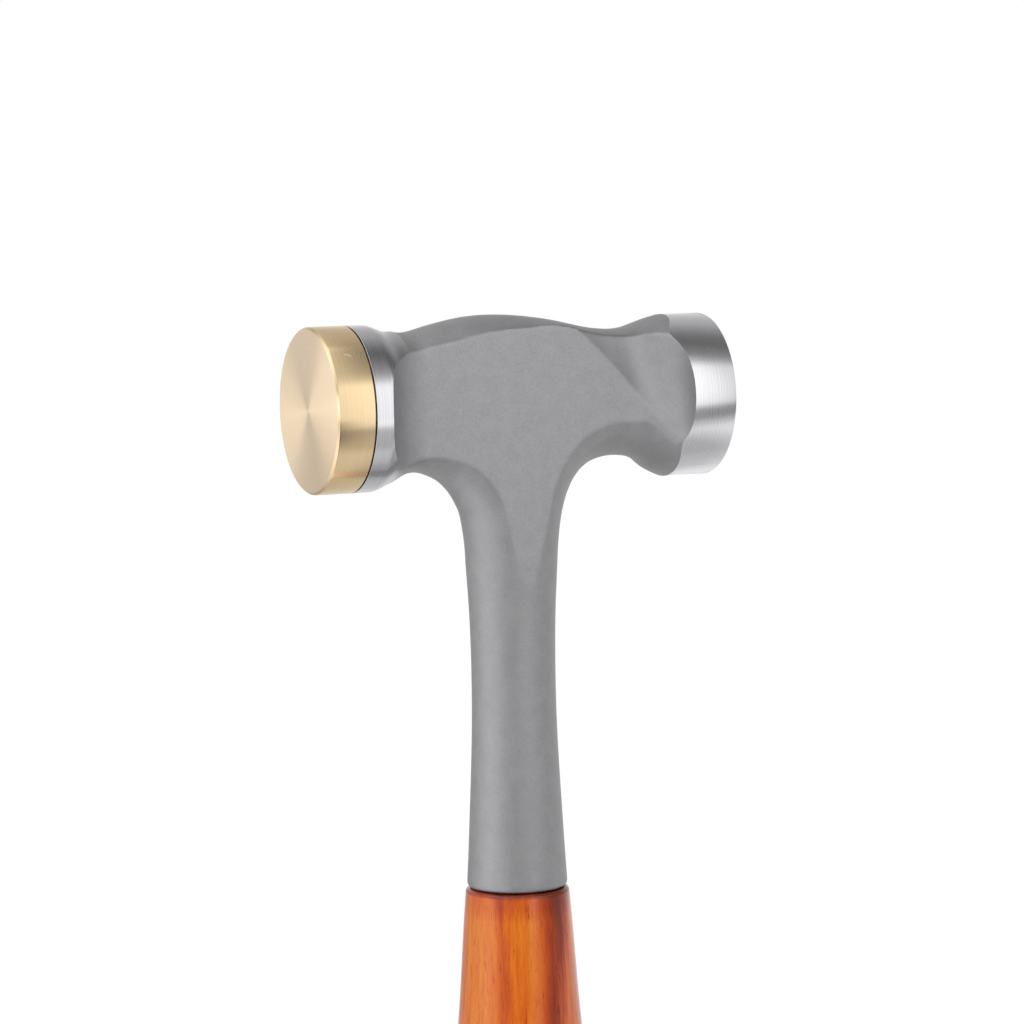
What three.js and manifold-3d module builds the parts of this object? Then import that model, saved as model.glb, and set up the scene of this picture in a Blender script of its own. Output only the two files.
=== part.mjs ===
// Stamping hammer: a cast stainless head and neck in one piece, a screwed-on brass face and a padauk grip.
// Millimetres, +Z up. The hammer stands on its butt: the origin is the middle of the butt's flat, the neck
// and the grip run up +Z, the brass face looks along -X and the steel face along +X.
import * as THREE from "three";
import { mergeVertices } from "three/addons/utils/BufferGeometryUtils.js";
import Module from "manifold-3d";

// Whole hammer.
const GRIP_LENGTH = 145; // butt to the neck's shoulder
const NECK_DROP = 84.7; // head axis to the neck's shoulder
const HEAD_LENGTH = 74.1; // striking face to striking face
const FACE_RADIUS = 14.25; // both faces are 28.5 mm across
const STEEL_CHAMFER = 0.3;
const SIDES = 48; // facets round the neck and the grip
const FACE_SIDES = 80; // facets round the turned ends and the brass face
const WELD = 0.01; // corners that a cut leaves closer than this are one
const SAME_POINT = 0.00001; // corners of one drawn shape closer than this are one

// Brass face and its seat on the collar.
const BRASS_THICKNESS = 7;
const BRASS_CHAMFER = 0.45;
const SEAT_GAP = 0.12; // the dark line between brass and steel
const SEAT_CHAMFER = 0.15;
const FIT_GAP = 0.3; // between pieces that fit in each other
const SPIGOT_RADIUS = 8;
const SPIGOT_LENGTH = 4;
const SPIGOT_CHAMFER = 0.4;

// Stud: an M8 set screw that stands half in the head and half in the brass.
const STUD_RADIUS = 4;
const STUD_LENGTH = 20;
const STUD_IN_BRASS = 7.3;
const STUD_CHAMFER = 0.8;
const STUD_SIDES = 32;
const HEX_ACROSS_FLATS = 4;
const HEX_DEPTH = 4.5;

// Collar behind the brass face, turned on the casting.
const COLLAR_WIDTH = 3.2; // full radius, from the seat
const COLLAR_TAPER = 3.5;
const COLLAR_LAND = 2.9;
const COLLAR_LAND_RADIUS = 13.02;
const TAPER_BOW_SHARES = [0.33, 0.25]; // along the taper and down it, for the point where it bends

// Flat sides of the head, each ground with a wheel of the flare's radius beside both ends.
const FLAT_HALF = 7.8; // half the thickness between the flats
const FLARE_RADIUS = 10;
const BRASS_FLARE_FROM = 19.25; // face to where the flat starts to flare
const STEEL_FLARE_FROM = 17.75;
const FLAT_DROP = 40; // head axis to the end of the wheel's path on the neck
const FLARE_STEPS = 14;

// Slanting scoop on each side near the steel face: its crease runs down towards that face.
const SCOOP_DEPTH = 2.2;
const SCOOP_RUN = 9; // from the crease to the full depth
const CREASE_BOW = 0.7; // of the crease, up and towards the steel face
const SCOOP_STEPS = 20;

// Crown of the head from the brass end to the steel end. Places are shares of half the head's length, heights
// and half-widths of the rounded section are shares of the face radius.
const CROWN_SHARES = [
  [-1, 1.5, 1.2],
  [-0.82, 1.2, 1.08],
  [-0.7, 1.01, 1.03],
  [-0.62, 0.92, 1.0],
  [-0.56, 0.893, 0.97],
  [-0.49, 0.907, 0.96],
  [-0.42, 0.952, 0.92],
  [-0.34, 1, 0.905],
  [-0.25, 1.043, 0.955],
  [-0.15, 1.068, 1],
  [-0.05, 1.067, 1.06],
  [0.05, 1.048, 1.18],
  [0.14, 1.017, 1.42],
  [0.22, 0.98, 1.55],
  [0.3, 0.932, 1.35],
  [0.38, 0.885, 1.2],
  [0.46, 0.854, 1.1],
  [0.54, 0.843, 1.03],
  [0.61, 0.863, 1.01],
  [0.68, 0.916, 1.04],
  [0.74, 0.962, 1.12],
  [0.8, 1, 1.13],
  [0.87, 1.05, 1.12],
  [1, 1.3, 1.15],
];
const CROWN_STEPS = 48;

// Underside from each end into the neck. The first value runs from the neck's side (0) to the striking face
// (1), the second from the face's lowest point (0) down to the neck's top (1). The last two give the rounding
// across the head, its depth and its half-width, from the neck's radius (0) to the face radius (1).
const BRASS_ARCH_SHARES = [
  [0.74, 0.244, 1.12, 1.2],
  [0.664, 0.069, 1.09, 1.15],
  [0.592, -0.029, 0.98, 1.1],
  [0.52, -0.116, 0.83, 1.06],
  [0.448, -0.189, 0.64, 0.84],
  [0.379, -0.215, 0.544, 0.64],
  [0.317, -0.204, 0.544, 0.58],
  [0.251, -0.156, 0.512, 0.48],
  [0.186, -0.084, 0.48, 0.35],
  [0.138, 0.004, 0.43, 0.27],
  [0.1, 0.098, 0.38, 0.21],
  [0.065, 0.222, 0.31, 0.16],
  [0.034, 0.367, 0.2, 0.13],
  [0.013, 0.6, 0.09, 0.09],
  [0.003, 0.818, 0.032, 0.032],
  [0, 1, 0, 0],
  [0, 1.109, 0, 0],
];
const STEEL_ARCH_SHARES = [
  [0.843, 0.2, 1.12, 1.2],
  [0.778, 0.055, 1.09, 1.15],
  [0.716, -0.007, 0.99, 1.09],
  [0.661, -0.062, 0.88, 1.04],
  [0.613, -0.127, 0.736, 0.7],
  [0.558, -0.215, 0.576, 0.38],
  [0.492, -0.276, 0.448, 0.16],
  [0.42, -0.298, 0.416, 0.1],
  [0.351, -0.298, 0.4, 0.08],
  [0.282, -0.273, 0.384, 0.08],
  [0.213, -0.222, 0.368, 0.1],
  [0.155, -0.135, 0.336, 0.11],
  [0.11, -0.025, 0.304, 0.13],
  [0.076, 0.105, 0.272, 0.13],
  [0.048, 0.258, 0.208, 0.13],
  [0.024, 0.455, 0.112, 0.11],
  [0.009, 0.709, 0.048, 0.048],
  [0, 1, 0, 0],
  [0, 1.109, 0, 0],
];
const ARCH_STEPS = 34;
const ARCH_CENTRE_SHARES = [0.361, 0.4545]; // centre that an arch's cross sections fan round, placed as above
const ARCH_REACH_SHARE = 0.525; // of the drop from the face to the neck's top, that a cut clears below an arch
const MIDDLE_SHARE = 1.11; // of the face radius: outer limit of the casting between its turned ends
const STEEL_START_SHARE = 0.6; // of the steel flare's distance from the steel face: where that end is turned
const ROOM_SHARE = 1.53; // of the neck's top radius: half of the stretch that reaches past that limit
const CUT_SHARE = 1.2; // of the face radius: half-width of the cuts across the head
const OVERRUN = 0.05;

// Ends of the slanting scoop's crease, in shares of half the head's length and of the face radius.
const CREASE_TOP_SHARES = [0.26, 0.877];
const CREASE_FOOT_SHARES = [0.7, -0.379];

// Neck below the arches, round, with a shoulder that meets the grip and a tang inside it.
const NECK_TOP_DROP = 28; // head axis to where the neck is round
const NECK_TOP_RADIUS = 8;
const NECK_WAIST_RADIUS = 7.33;
const SHOULDER_RADIUS = 8.78;
const EDGE_ROUND = 0.8;
const EDGE_STEPS = 5;
const TANG_RADIUS = 4.5;
const TANG_LENGTH = 60;
const TANG_CHAMFER = 1;
const NECK_STEPS = 22;
const PLUG_SHARE = 0.8; // of the neck's radius, for the stretch inside the arches
// Way down the neck from its round top to the shoulder, and the radius there between waist (0) and shoulder
// (1), after a start that is level with the top.
const NECK_SHARES = [
  [0.053, 0.34],
  [0.12, 0.19],
  [0.21, 0.07],
  [0.3, 0.012],
  [0.39, 0.012],
  [0.48, 0.06],
  [0.58, 0.185],
  [0.68, 0.36],
  [0.79, 0.575],
  [0.9, 0.8],
];

// Grip: an oval that swells to a belly and closes at a rounded butt. Way up from the butt, half-width along
// the head and half-depth across it, in shares of the length and of the belly's half-width.
const BELLY_HALF = 15;
const GRIP_TOP_RADIUS = 9.1;
const SHOULDER_GAP = 0.15; // dark groove between steel and wood
const GRIP_SHARES = [
  [0.006, 0.66, 0.6],
  [0.02, 0.775, 0.7],
  [0.05, 0.865, 0.785],
  [0.1, 0.915, 0.825],
  [0.19, 0.955, 0.855],
  [0.3, 0.99, 0.875],
  [0.4, 1, 0.88],
  [0.5, 0.985, 0.87],
  [0.6, 0.935, 0.84],
  [0.7, 0.855, 0.79],
  [0.79, 0.766, 0.74],
  [0.86, 0.704, 0.694],
  [0.91, 0.669, 0.663],
  [0.957, 0.637, 0.635],
];
const BUTT_FLAT_SHARES = [0.56, 0.505]; // half-width and half-depth of the flat that it stands on
const GRIP_STEPS = 28;

const HALF_LENGTH = HEAD_LENGTH / 2;
const SEAT_X = BRASS_THICKNESS - HALF_LENGTH; // plane of the collar's seat
const BRASS_BACK_X = SEAT_X - SEAT_GAP;
const SPIGOT_END_X = BRASS_BACK_X + SPIGOT_LENGTH;
const STUD_END_X = SPIGOT_END_X - STUD_IN_BRASS; // the stud's end in the brass
const CUT_HALF = FACE_RADIUS * CUT_SHARE;

const wasm = await Module();
wasm.setup();

// Turns a closed geometry into a solid that can be joined and cut.
function solid(geometry) {
  const bare = geometry.clone();
  bare.deleteAttribute("normal");
  bare.deleteAttribute("uv");
  const merged = mergeVertices(bare, SAME_POINT);
  const vertProperties = merged.attributes.position.array;
  const closed = (triVerts) => new wasm.Manifold(new wasm.Mesh({ numProp: 3, vertProperties, triVerts }));
  const corners = Uint32Array.from(merged.index.array);
  const made = closed(corners);
  return made.volume() > 0 ? made : closed(corners.reverse());
}

// Gives a solid back as a geometry for a mesh, without the faces that welding closes.
function geometryOf(made) {
  const { vertProperties, triVerts } = made.getMesh();
  const cut = new THREE.BufferGeometry();
  cut.setAttribute("position", new THREE.BufferAttribute(vertProperties, 3));
  cut.setIndex(Array.from(triVerts));
  const whole = mergeVertices(cut, WELD);
  const corners = [];
  for (let i = 0; i < whole.index.count; i += 3) {
    const [a, b, c] = whole.index.array.subarray(i, i + 3);
    if (a !== b && b !== c && c !== a) corners.push(a, b, c);
  }
  whole.setIndex(corners);
  whole.computeVertexNormals();
  return whole;
}

// Smooth curve through rows of values. A row's place is its first value, or with byRow the row's number.
function smooth(rows, steps, byRow) {
  const places = rows.map((row, i) => (byRow ? i : row[0]));
  const curve = new THREE.CubicInterpolant(places, rows.flat(), rows[0].length);
  const [first, last] = [places[0], places[places.length - 1]];
  const at = (i) => Array.from(curve.evaluate(first + ((last - first) * i) / steps));
  return Array.from({ length: steps + 1 }, (_, i) => at(i));
}

// Triangles over a flat ring that starts at one of its extremes in X or Z, wound the way that the ring runs.
function faceOver(ring) {
  const [x0, , z0] = ring[0];
  const outline = ring.map(([x, y, z]) => new THREE.Vector2(y, Math.hypot(x - x0, z - z0)));
  const faces = THREE.ShapeUtils.triangulateShape(outline, []);
  return THREE.ShapeUtils.isClockWise(outline) ? faces.map(([a, b, c]) => [a, c, b]) : faces;
}

// Closed solid over flat rings with the same number of points.
function loft(rings) {
  const count = rings[0].length;
  const corners = [];
  for (let k = 0; k + 1 < rings.length; k++)
    for (let i = 0; i < count; i++) {
      const [a, b] = [k * count + i, k * count + ((i + 1) % count)];
      corners.push(a, b, b + count, a, b + count, a + count);
    }
  const top = (rings.length - 1) * count;
  for (const [a, b, c] of faceOver(rings[0])) corners.push(a, c, b);
  for (const [a, b, c] of faceOver(rings[rings.length - 1])) corners.push(top + a, top + b, top + c);
  const geometry = new THREE.BufferGeometry();
  geometry.setAttribute("position", new THREE.Float32BufferAttribute(rings.flat(2), 3));
  geometry.setIndex(corners);
  return geometry;
}

// Turned piece: rows of radius and place along its axis, which is "x" or "z".
function turned(rows, axis, sides = SIDES) {
  const profile = rows.map(([radius, along]) => new THREE.Vector2(radius, along));
  const geometry = new THREE.LatheGeometry(profile, sides);
  return axis === "x" ? geometry.rotateZ(-Math.PI / 2) : geometry.rotateX(Math.PI / 2);
}

// Rows of radius and place round a corner's quarter circle, from the side at its full radius to the end.
function roundedCorner(radius, end, inward) {
  return Array.from({ length: EDGE_STEPS + 1 }, (_, i) => {
    const turn = ((Math.PI / 2) * i) / EDGE_STEPS;
    return [radius - EDGE_ROUND * (1 - Math.cos(turn)), end + inward * EDGE_ROUND * (1 - Math.sin(turn))];
  });
}

// Metal under the crown: a rounded section that runs from end to end, down to the neck's top.
function crownBlank() {
  const half = SIDES / 2;
  return loft(
    smooth(CROWN_SHARES, CROWN_STEPS).map(([place, height, width]) => {
      const x = place * HALF_LENGTH;
      const ring = [[x, 0, -NECK_TOP_DROP]];
      ring.push([x, -width * FACE_RADIUS, -NECK_TOP_DROP]);
      for (let i = 0; i <= half; i++) {
        const turn = (Math.PI * i) / half;
        ring.push([x, -width * FACE_RADIUS * Math.cos(turn), height * FACE_RADIUS * Math.sin(turn)]);
      }
      ring.push([x, width * FACE_RADIUS, -NECK_TOP_DROP]);
      return ring;
    }),
  );
}

// Outer limit of the head: the turned collar and steel end, with room between them for the crown and arches.
function turnedLimit() {
  const taperEnd = SEAT_X + COLLAR_WIDTH + COLLAR_TAPER;
  const steelStart = HALF_LENGTH - STEEL_FLARE_FROM * STEEL_START_SHARE;
  const bowX = SEAT_X + COLLAR_WIDTH + COLLAR_TAPER * TAPER_BOW_SHARES[0];
  const bowRadius = FACE_RADIUS - (FACE_RADIUS - COLLAR_LAND_RADIUS) * TAPER_BOW_SHARES[1];
  const rows = [
    [0, SEAT_X],
    [FACE_RADIUS - SEAT_CHAMFER, SEAT_X],
    [FACE_RADIUS, SEAT_X + SEAT_CHAMFER],
    [FACE_RADIUS, SEAT_X + COLLAR_WIDTH],
    [bowRadius, bowX],
    [COLLAR_LAND_RADIUS, taperEnd],
    [COLLAR_LAND_RADIUS, taperEnd + COLLAR_LAND],
    [FACE_RADIUS * MIDDLE_SHARE, taperEnd + COLLAR_LAND],
    [FACE_RADIUS * MIDDLE_SHARE, steelStart],
    [FACE_RADIUS, steelStart],
    [FACE_RADIUS, HALF_LENGTH - STEEL_CHAMFER],
    [FACE_RADIUS - STEEL_CHAMFER, HALF_LENGTH],
    [0, HALF_LENGTH],
  ];
  const room = new THREE.BoxGeometry(NECK_TOP_RADIUS * ROOM_SHARE * 2, CUT_HALF * 2, NECK_TOP_DROP);
  return solid(turned(rows, "x", FACE_SIDES)).add(solid(room.translate(0, 0, -NECK_TOP_DROP / 2)));
}

// Cut that shapes the underside between one end and the neck. It follows the arch and is rounded across it.
function archCut(shares, side) {
  const drop = NECK_TOP_DROP - FACE_RADIUS;
  const place = ([out, fall]) => [
    side * (NECK_TOP_RADIUS + out * (HALF_LENGTH - NECK_TOP_RADIUS)),
    -(FACE_RADIUS + fall * drop),
  ];
  const size = (share) => NECK_TOP_RADIUS + share * (FACE_RADIUS - NECK_TOP_RADIUS);
  const [centreX, centreZ] = place(ARCH_CENTRE_SHARES);
  const reach = drop * ARCH_REACH_SHARE;
  const half = SIDES / 2;
  return loft(
    smooth(shares, ARCH_STEPS, true).map(([out, fall, deepShare, wideShare]) => {
      const [x, z] = place([out, fall]);
      const [deep, wide] = [size(deepShare), size(wideShare)];
      const inward = side * Math.max(side * (centreX - x), 0);
      const toCentre = new THREE.Vector2(inward, Math.min(centreZ - z, 0)).normalize();
      const at = (y, along) => [x + along * toCentre.x, y, z + along * toCentre.y];
      const ring = [at(0, reach), at(-CUT_HALF, reach), at(-CUT_HALF, -deep - OVERRUN)];
      for (let i = 0; i <= half; i++) {
        const turn = (Math.PI * i) / half - Math.PI / 2;
        ring.push(at(wide * Math.sin(turn), -deep * (1 - Math.cos(turn))));
      }
      ring.push(at(CUT_HALF, -deep - OVERRUN), at(CUT_HALF, reach));
      return ring;
    }),
  );
}

// How far the ground side stands out from the flat at a place along the head.
function flareAt(x) {
  const past = Math.max(x - (HALF_LENGTH - STEEL_FLARE_FROM), BRASS_FLARE_FROM - HALF_LENGTH - x, 0);
  return FLARE_RADIUS - Math.sqrt(Math.max(FLARE_RADIUS ** 2 - past ** 2, 0));
}

// Cut that leaves one flat side with its flares, from above the crown down to the neck.
function flatCut(side) {
  const outline = new THREE.Shape();
  const [brassX, steelX] = [BRASS_FLARE_FROM - HALF_LENGTH, HALF_LENGTH - STEEL_FLARE_FROM];
  outline.moveTo(brassX - FLARE_RADIUS, side * CUT_HALF * 2);
  for (let i = FLARE_STEPS; i >= 0; i--) {
    const turn = ((Math.PI / 2) * i) / FLARE_STEPS;
    outline.lineTo(
      brassX - FLARE_RADIUS * Math.sin(turn),
      side * (FLAT_HALF + FLARE_RADIUS * (1 - Math.cos(turn))),
    );
  }
  for (let i = 0; i <= FLARE_STEPS; i++) {
    const turn = ((Math.PI / 2) * i) / FLARE_STEPS;
    outline.lineTo(
      steelX + FLARE_RADIUS * Math.sin(turn),
      side * (FLAT_HALF + FLARE_RADIUS * (1 - Math.cos(turn))),
    );
  }
  outline.lineTo(steelX + FLARE_RADIUS, side * CUT_HALF * 2);
  const cut = new THREE.ExtrudeGeometry(outline, { depth: FLAT_DROP + CUT_HALF, bevelEnabled: false });
  return cut.translate(0, 0, -FLAT_DROP);
}

// Cut of the slanting scoop on one side. Its floor meets the flat along the crease and follows the flare.
function scoopCut(side) {
  const top = new THREE.Vector2(CREASE_TOP_SHARES[0] * HALF_LENGTH, CREASE_TOP_SHARES[1] * FACE_RADIUS);
  const foot = new THREE.Vector2(CREASE_FOOT_SHARES[0] * HALF_LENGTH, CREASE_FOOT_SHARES[1] * FACE_RADIUS);
  const crease = foot.clone().sub(top);
  const across = new THREE.Vector2(-crease.y, crease.x).normalize();
  const floor = (x, z) => {
    const point = new THREE.Vector2(x, z).sub(top);
    const down = THREE.MathUtils.clamp(point.dot(crease) / crease.lengthSq(), 0, 1);
    const past = point.dot(across) - CREASE_BOW * 4 * down * (1 - down);
    const run = Math.min(past, SCOOP_RUN) / SCOOP_RUN;
    const depth = past < 0 ? 2 * run : 1 - (1 - run) ** 2;
    return FLAT_HALF + flareAt(x) - SCOOP_DEPTH * depth;
  };
  const flareX = HALF_LENGTH - STEEL_FLARE_FROM;
  const fromX = top.x - SCOOP_RUN / 2;
  const places = [];
  for (let k = 0; k < SCOOP_STEPS; k++) places.push(fromX + ((flareX - fromX) * k) / SCOOP_STEPS);
  for (let k = 0; k < FLARE_STEPS; k++) {
    const turn = ((Math.PI / 2) * k) / FLARE_STEPS;
    places.push(flareX + FLARE_RADIUS * Math.sin(turn));
  }
  const outer = side * CUT_HALF * 2;
  return loft(
    places.map((x) => {
      const ring = [[x, outer, -FACE_RADIUS]];
      for (let i = 0; i <= SCOOP_STEPS; i++) {
        const z = -FACE_RADIUS + ((FACE_RADIUS + CUT_HALF) * i) / SCOOP_STEPS;
        ring.push([x, side * floor(x, z), z]);
      }
      ring.push([x, outer, CUT_HALF]);
      return ring;
    }),
  );
}

// Neck from the arches down, its shoulder with a rounded edge, and the tang that the grip is bonded to.
function neck() {
  const run = NECK_DROP - NECK_TOP_DROP;
  const rise = SHOULDER_RADIUS - NECK_WAIST_RADIUS;
  const plugTop = NECK_TOP_RADIUS / 2 - NECK_TOP_DROP;
  const plugRadius = NECK_TOP_RADIUS * PLUG_SHARE;
  const rows = [[0, plugTop], [plugRadius, plugTop], [plugRadius, -NECK_TOP_DROP]];
  const stations = [[0, (NECK_TOP_RADIUS - NECK_WAIST_RADIUS) / rise], ...NECK_SHARES];
  stations.push([1 - EDGE_ROUND / run, 1]);
  for (const [down, wide] of smooth(stations, NECK_STEPS))
    rows.push([NECK_WAIST_RADIUS + wide * rise, -NECK_TOP_DROP - down * run]);
  rows.push(...roundedCorner(SHOULDER_RADIUS, -NECK_DROP, 1).slice(1));
  const tip = NECK_DROP + TANG_LENGTH;
  rows.push([TANG_RADIUS, -NECK_DROP], [TANG_RADIUS, TANG_CHAMFER - tip]);
  rows.push([TANG_RADIUS - TANG_CHAMFER, -tip], [0, -tip]);
  return turned(rows, "z");
}

// Recess for the brass face's spigot and the bore that the stud screws into.
function seatBore() {
  const floor = SEAT_X + SPIGOT_LENGTH + FIT_GAP;
  const bottom = STUD_END_X + STUD_LENGTH + FIT_GAP;
  const bore = STUD_RADIUS + FIT_GAP;
  return turned(
    [
      [0, SEAT_X - FIT_GAP],
      [SPIGOT_RADIUS + FIT_GAP, SEAT_X - FIT_GAP],
      [SPIGOT_RADIUS + FIT_GAP, floor],
      [bore, floor],
      [bore, bottom],
      [0, bottom + bore / 2],
    ],
    "x",
  );
}

function hammerHead() {
  let made = solid(crownBlank()).intersect(turnedLimit());
  made = made.subtract(solid(archCut(BRASS_ARCH_SHARES, -1))).subtract(solid(archCut(STEEL_ARCH_SHARES, 1)));
  made = made.add(solid(neck()));
  for (const side of [-1, 1]) made = made.subtract(solid(flatCut(side))).subtract(solid(scoopCut(side)));
  return geometryOf(made.subtract(solid(seatBore())));
}

function brassFace() {
  const hole = STUD_RADIUS + FIT_GAP;
  return geometryOf(
    solid(
      turned(
        [
          [0, -HALF_LENGTH],
          [FACE_RADIUS - BRASS_CHAMFER, -HALF_LENGTH],
          [FACE_RADIUS, BRASS_CHAMFER - HALF_LENGTH],
          [FACE_RADIUS, BRASS_BACK_X - SEAT_CHAMFER],
          [FACE_RADIUS - SEAT_CHAMFER, BRASS_BACK_X],
          [SPIGOT_RADIUS, BRASS_BACK_X],
          [SPIGOT_RADIUS, SPIGOT_END_X - SPIGOT_CHAMFER],
          [SPIGOT_RADIUS - SPIGOT_CHAMFER, SPIGOT_END_X],
          [hole, SPIGOT_END_X],
          [hole, STUD_END_X - FIT_GAP],
          [0, STUD_END_X - FIT_GAP],
        ],
        "x",
        FACE_SIDES,
      ),
    ),
  );
}

function faceStud() {
  const end = STUD_END_X + STUD_LENGTH;
  const shank = turned(
    [
      [0, STUD_END_X],
      [STUD_RADIUS - STUD_CHAMFER, STUD_END_X],
      [STUD_RADIUS, STUD_END_X + STUD_CHAMFER],
      [STUD_RADIUS, end - STUD_CHAMFER],
      [STUD_RADIUS - STUD_CHAMFER, end],
      [0, end],
    ],
    "x",
    STUD_SIDES,
  );
  const corner = HEX_ACROSS_FLATS / Math.sqrt(3);
  const hex = new THREE.CylinderGeometry(corner, corner, HEX_DEPTH * 2, 6).rotateZ(Math.PI / 2);
  return geometryOf(solid(shank).subtract(solid(hex.translate(STUD_END_X, 0, 0))));
}

// Oval grip with a rounded top edge under the neck's shoulder, and a blind bore for the tang.
function grip() {
  const top = GRIP_LENGTH - SHOULDER_GAP;
  const topShare = GRIP_TOP_RADIUS / BELLY_HALF;
  const stations = [[0, ...BUTT_FLAT_SHARES], ...GRIP_SHARES, [1 - EDGE_ROUND / top, topShare, topShare]];
  const sizes = smooth(stations, GRIP_STEPS, true).map(([up, ...halves]) => [
    up * top,
    ...halves.map((half) => half * BELLY_HALF),
  ]);
  const edge = roundedCorner(GRIP_TOP_RADIUS, top, -1).slice(1);
  sizes.push(...edge.map(([radius, z]) => [z, radius, radius]));
  const rings = sizes.map(([z, wide, deep]) =>
    Array.from({ length: SIDES }, (_, i) => {
      const turn = (Math.PI * 2 * i) / SIDES;
      return [wide * Math.cos(turn), deep * Math.sin(turn), z];
    }),
  );
  const bore = TANG_RADIUS + FIT_GAP;
  const bottom = GRIP_LENGTH - TANG_LENGTH - FIT_GAP;
  const tangBore = [[0, bottom - bore / 2], [bore, bottom], [bore, GRIP_LENGTH], [0, GRIP_LENGTH]];
  return geometryOf(solid(loft(rings)).subtract(solid(turned(tangBore, "z"))));
}

const steel = new THREE.MeshStandardMaterial({ color: 0x8f9193, roughness: 0.42, metalness: 1 });
const brass = new THREE.MeshStandardMaterial({ color: 0xd9bd7c, roughness: 0.24, metalness: 1 });
const oxide = new THREE.MeshStandardMaterial({ color: 0x2b2b2d, roughness: 0.5, metalness: 0.9 });
const padauk = new THREE.MeshStandardMaterial({ color: 0xb4481b, roughness: 0.3, metalness: 0 });

function piece(name, geometry, material) {
  const mesh = new THREE.Mesh(geometry, material);
  mesh.name = name;
  return mesh;
}

// The head's pieces share the head's own frame: the head axis is X and the neck's axis crosses it at zero.
const head = new THREE.Group();
head.position.z = GRIP_LENGTH + NECK_DROP;
head.add(
  piece("hammer_head", hammerHead(), steel),
  piece("brass_face", brassFace(), brass),
  piece("face_stud", faceStud(), oxide),
);

const hammer = new THREE.Group();
hammer.add(head, piece("grip", grip(), padauk));

export default hammer;
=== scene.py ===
import math

import bmesh
import bpy
import numpy as np
from mathutils import Matrix, Vector


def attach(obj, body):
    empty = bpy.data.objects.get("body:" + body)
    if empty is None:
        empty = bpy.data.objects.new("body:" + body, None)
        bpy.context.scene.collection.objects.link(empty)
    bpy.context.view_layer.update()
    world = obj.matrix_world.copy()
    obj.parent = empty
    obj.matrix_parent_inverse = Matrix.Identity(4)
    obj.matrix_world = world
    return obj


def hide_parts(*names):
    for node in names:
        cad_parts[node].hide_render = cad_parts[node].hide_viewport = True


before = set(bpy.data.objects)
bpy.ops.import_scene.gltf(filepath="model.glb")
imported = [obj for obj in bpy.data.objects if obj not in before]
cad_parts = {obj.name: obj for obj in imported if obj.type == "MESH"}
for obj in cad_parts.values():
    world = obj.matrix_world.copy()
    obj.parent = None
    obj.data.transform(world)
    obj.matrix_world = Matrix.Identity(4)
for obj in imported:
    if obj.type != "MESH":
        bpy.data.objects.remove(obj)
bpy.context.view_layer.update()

MM = 0.001


# Head casting: one piece of stainless steel, cast with its neck and tang, its sides ground flat and scooped,
# then bead-blasted all over. Only the two ends are turned bright afterwards, where the brass face seats and
# where the steel face strikes.

# Drops are measured down from the head's axis, and X along it, with the brass face at its minus end.
HEAD_UP = 229.7  # butt to the head's axis
HALF_LENGTH = 37.05
FACE_RADIUS = 14.25
NECK_RADIUS = 8.0
NECK_TOP_DROP = 28.0
NECK_DROP = 84.7
WAIST_RADIUS = 7.33
SHOULDER_SWELL = 1.45  # by how much the shoulder's radius is larger than the waist's
EDGE_ROUND = 0.8  # rounding where the shoulder and the grip meet
TANG_RADIUS = 4.5
TANG_LENGTH = 60.0
SEAT_X = -30.05
CAST_GRAIN = 0.35  # size of the casting's finest form

# Crown: places as shares of the half length, and its height and half width as shares of a face's radius.
CROWN = [
    [-1, 1.5, 1.2], [-0.82, 1.2, 1.08], [-0.7, 1.02, 1.02], [-0.62, 0.945, 0.945],
    [-0.58, 0.907, 0.907], [-0.53, 0.893, 0.9], [-0.47, 0.917, 0.925], [-0.42, 0.952, 0.92],
    [-0.34, 1, 0.905], [-0.25, 1.043, 0.955], [-0.15, 1.068, 1], [-0.05, 1.067, 1.06],
    [0.05, 1.048, 1.18], [0.14, 1.017, 1.42], [0.22, 0.98, 1.55], [0.3, 0.932, 1.35],
    [0.38, 0.885, 1.2], [0.46, 0.854, 1.1], [0.54, 0.843, 1.03], [0.61, 0.863, 1.01],
    [0.68, 0.916, 1.04], [0.74, 0.962, 1.12], [0.8, 1, 1.13], [0.87, 1.05, 1.12], [1, 1.3, 1.15],
]

# Arches: how far out from the neck and how far down, then how deep and how wide the cut is there, as shares.
BRASS_ARCH = [
    [0.74, 0.244, 1.12, 1.2], [0.664, 0.069, 1.09, 1.15], [0.592, -0.029, 0.98, 1.1],
    [0.52, -0.116, 0.83, 1.06], [0.448, -0.189, 0.64, 0.84], [0.379, -0.215, 0.544, 0.64],
    [0.317, -0.204, 0.544, 0.58], [0.251, -0.156, 0.512, 0.48], [0.186, -0.084, 0.48, 0.35],
    [0.138, 0.004, 0.43, 0.27], [0.1, 0.098, 0.38, 0.21], [0.065, 0.222, 0.31, 0.16],
    [0.034, 0.367, 0.2, 0.13], [0.013, 0.6, 0.09, 0.09], [0.003, 0.818, 0.032, 0.032],
    [0, 1, 0, 0], [0, 1.109, 0, 0],
]
STEEL_ARCH = [
    [0.843, 0.2, 1.12, 1.2], [0.778, 0.055, 1.09, 1.15], [0.716, -0.007, 0.99, 1.09],
    [0.661, -0.062, 0.88, 1.04], [0.613, -0.127, 0.736, 0.7], [0.558, -0.215, 0.576, 0.38],
    [0.492, -0.276, 0.448, 0.16], [0.42, -0.298, 0.416, 0.1], [0.351, -0.298, 0.4, 0.08],
    [0.282, -0.273, 0.384, 0.08], [0.213, -0.222, 0.368, 0.1], [0.155, -0.135, 0.336, 0.11],
    [0.11, -0.025, 0.304, 0.13], [0.076, 0.105, 0.272, 0.13], [0.048, 0.258, 0.208, 0.13],
    [0.024, 0.455, 0.112, 0.11], [0.009, 0.709, 0.048, 0.048], [0, 1, 0, 0], [0, 1.109, 0, 0],
]

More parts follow.
